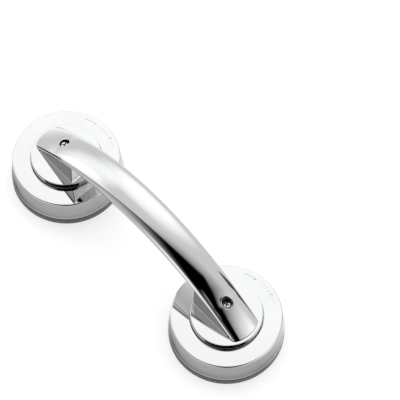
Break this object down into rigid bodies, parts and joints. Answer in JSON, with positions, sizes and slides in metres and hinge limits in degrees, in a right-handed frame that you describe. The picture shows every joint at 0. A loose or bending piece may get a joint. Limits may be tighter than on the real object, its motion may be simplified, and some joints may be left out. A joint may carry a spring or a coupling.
{
  "type": "suction grab bar",
  "caption": "Chromed arched grab handle on round twist-lock suction discs that hold it to a smooth wall.",
  "frame": {"origin": "midway between the two discs, on the plane of the pads' sealing faces", "axes": "+X along the handle towards disc b, +Z away from the wall, +Y completes the right-handed set"},
  "size_m": [0.3, 0.0974, 0.0888],
  "materials": {
    "handle_chrome": "mirror-bright chrome on plastic",
    "disc_chrome": "mirror-bright chrome on plastic",
    "zinc_steel": "zinc plated",
    "white_plastic": "self-lubricating acetal",
    "grey_plastic": "moulded, matt",
    "grey_rubber": "soft, satin"
  },
  "bodies": {
    "frame": {"handle_top_shell": "handle_chrome", "handle_bottom_shell": "handle_chrome", "handle_screw_a": "zinc_steel", "handle_screw_b": "zinc_steel", "hub_cap_a": "disc_chrome", "hub_cap_b": "disc_chrome", "pressure_plate_a": "grey_plastic", "pressure_plate_b": "grey_plastic", "thrust_washer_a": "white_plastic", "thrust_washer_b": "white_plastic", "suction_pad_a": "grey_rubber", "suction_pad_b": "grey_rubber", "hub_screw_a1": "zinc_steel", "hub_screw_a2": "zinc_steel", "hub_screw_a3": "zinc_steel", "hub_screw_b1": "zinc_steel", "hub_screw_b2": "zinc_steel", "hub_screw_b3": "zinc_steel", "return_spring_a": "zinc_steel", "return_spring_b": "zinc_steel"},
    "ring_a": {"lock_ring_a": "disc_chrome", "cam_ring_a": "white_plastic"},
    "ring_b": {"lock_ring_b": "disc_chrome", "cam_ring_b": "white_plastic"},
    "puller_a": {"pull_stud_a": "zinc_steel", "cross_pin_a": "zinc_steel"},
    "puller_b": {"pull_stud_b": "zinc_steel", "cross_pin_b": "zinc_steel"}
  },
  "joints": [
    {"name": "ring_turn_a", "type": "hinge", "parent": "frame", "child": "ring_a", "pos_m": [-0.10125, 0, 0.0168], "axis": [0, 0, -1], "range_deg": [0, 90]},
    {"name": "ring_turn_b", "type": "hinge", "parent": "frame", "child": "ring_b", "pos_m": [0.10125, 0, 0.0168], "axis": [0, 0, -1], "range_deg": [0, 90]},
    {"name": "stud_lift_a", "type": "slide", "parent": "frame", "child": "puller_a", "axis": [0, 0, 1], "range_m": [0, 0.004], "deforming": ["return_spring_a"]},
    {"name": "stud_lift_b", "type": "slide", "parent": "frame", "child": "puller_b", "axis": [0, 0, 1], "range_m": [0, 0.004], "deforming": ["return_spring_b"]}
  ],
  "couplings": [
    {"joint": "stud_lift_a", "follows": "ring_turn_a", "m_per_rad": 0.0025464},
    {"joint": "stud_lift_b", "follows": "ring_turn_b", "m_per_rad": 0.0025464}
  ]
}
